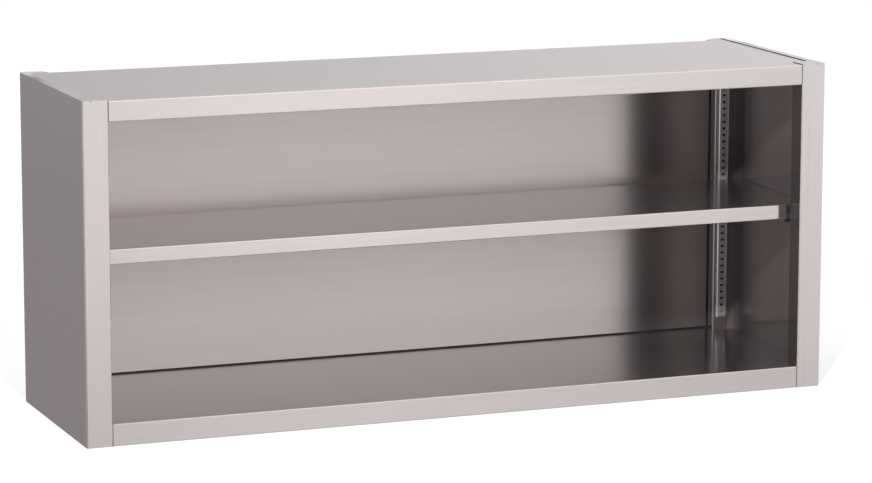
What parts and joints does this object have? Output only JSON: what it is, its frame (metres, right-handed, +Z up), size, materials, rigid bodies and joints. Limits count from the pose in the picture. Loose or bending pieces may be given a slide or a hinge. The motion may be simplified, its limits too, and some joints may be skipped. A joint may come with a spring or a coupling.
{
  "type": "open-front wall cabinet",
  "caption": "Long open-front wall cabinet folded from thin steel sheet, with square posts, a recessed back and a shelf on clips in slotted strips.",
  "frame": {"origin": "on the underside, at the middle of the cabinet's outline", "axes": "+Z up, +Y towards the wall, so the open front faces -Y, +X to the right seen from the front"},
  "size_m": [1.4, 0.4, 0.6],
  "materials": {
    "side_sheet": "brushed upright, satin",
    "top_sheet": "brushed along its length, satin",
    "floor_sheet": "brushed along its length, satin",
    "back_sheet": "brushed along its length, satin",
    "shelf_sheet": "brushed along its length, satin",
    "strip_steel": "mill finish, stamped",
    "clip_steel": "mill finish, stamped",
    "cap_sheet": "ground and brushed",
    "stiffener_sheet": "mill finish"
  },
  "bodies": {
    "carcass": {"side_panel_left": "side_sheet", "side_panel_right": "side_sheet", "top_panel": "top_sheet", "bottom_panel": "floor_sheet", "back_panel": "back_sheet", "floor_stiffener": "stiffener_sheet", "post_cap_top_left": "cap_sheet", "post_cap_top_right": "cap_sheet", "post_cap_bottom_left": "cap_sheet", "post_cap_bottom_right": "cap_sheet", "slotted_strip_front_left": "strip_steel", "slotted_strip_front_right": "strip_steel", "slotted_strip_rear_left": "strip_steel", "slotted_strip_rear_right": "strip_steel"},
    "shelf": {"shelf": "shelf_sheet", "shelf_stiffener": "stiffener_sheet"},
    "shelf_clip_front_left": {"shelf_clip_front_left": "clip_steel"},
    "shelf_clip_front_right": {"shelf_clip_front_right": "clip_steel"},
    "shelf_clip_rear_left": {"shelf_clip_rear_left": "clip_steel"},
    "shelf_clip_rear_right": {"shelf_clip_rear_right": "clip_steel"}
  },
  "joints": [
    {"name": "shelf_lift", "type": "slide", "parent": "carcass", "child": "shelf", "axis": [0, 0, 1], "range_m": [0, 0.25]},
    {"name": "clip_release_front_left", "type": "slide", "parent": "carcass", "child": "shelf_clip_front_left", "axis": [0, 1, 0], "range_m": [0, 0.0042]},
    {"name": "clip_release_front_right", "type": "slide", "parent": "carcass", "child": "shelf_clip_front_right", "axis": [0, 1, 0], "range_m": [0, 0.0042]},
    {"name": "clip_release_rear_left", "type": "slide", "parent": "carcass", "child": "shelf_clip_rear_left", "axis": [0, -1, 0], "range_m": [0, 0.0042]},
    {"name": "clip_release_rear_right", "type": "slide", "parent": "carcass", "child": "shelf_clip_rear_right", "axis": [0, -1, 0], "range_m": [0, 0.0042]}
  ]
}
